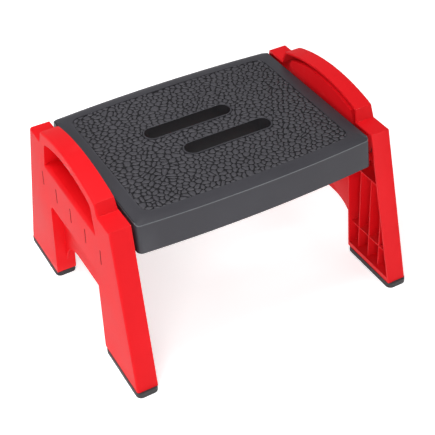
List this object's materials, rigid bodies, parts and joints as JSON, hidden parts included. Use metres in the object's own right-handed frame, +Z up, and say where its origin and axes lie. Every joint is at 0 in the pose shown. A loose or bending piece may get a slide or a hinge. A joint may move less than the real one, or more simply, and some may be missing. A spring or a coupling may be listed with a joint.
{
  "type": "step stool",
  "caption": "Folding plastic step stool: pebble-grained seat deck with hand slots, hinged end frames with handle arches and splayed legs, and foot caps.",
  "frame": {"origin": "on the floor, under the middle of the seat", "axes": "+X along the seat towards the right end frame, +Y to the rear, +Z up"},
  "size_m": [0.4514, 0.392, 0.2816],
  "materials": {
    "deck_plastic": "satin moulded polypropylene with a pebble grain",
    "frame_plastic": "satin moulded polypropylene",
    "foot_rubber": "matt thermoplastic rubber",
    "rod_steel": "bright drawn wire",
    "cap_plastic": "satin"
  },
  "bodies": {
    "seat": {"seat_deck": "deck_plastic", "left_hinge_rod": "rod_steel", "right_hinge_rod": "rod_steel", "left_front_rod_cap": "cap_plastic", "left_rear_rod_cap": "cap_plastic", "right_front_rod_cap": "cap_plastic", "right_rear_rod_cap": "cap_plastic"},
    "left_end": {"left_end_frame": "frame_plastic", "left_front_foot_cap": "foot_rubber", "left_rear_foot_cap": "foot_rubber"},
    "right_end": {"right_end_frame": "frame_plastic", "right_front_foot_cap": "foot_rubber", "right_rear_foot_cap": "foot_rubber"}
  },
  "joints": [
    {"name": "left_fold", "type": "hinge", "parent": "seat", "child": "left_end", "pos_m": [-0.1935, 0, 0.181], "axis": [0, -1, 0], "range_deg": [0, 90]},
    {"name": "right_fold", "type": "hinge", "parent": "seat", "child": "right_end", "pos_m": [0.1935, 0, 0.181], "axis": [0, 1, 0], "range_deg": [0, 90]}
  ]
}
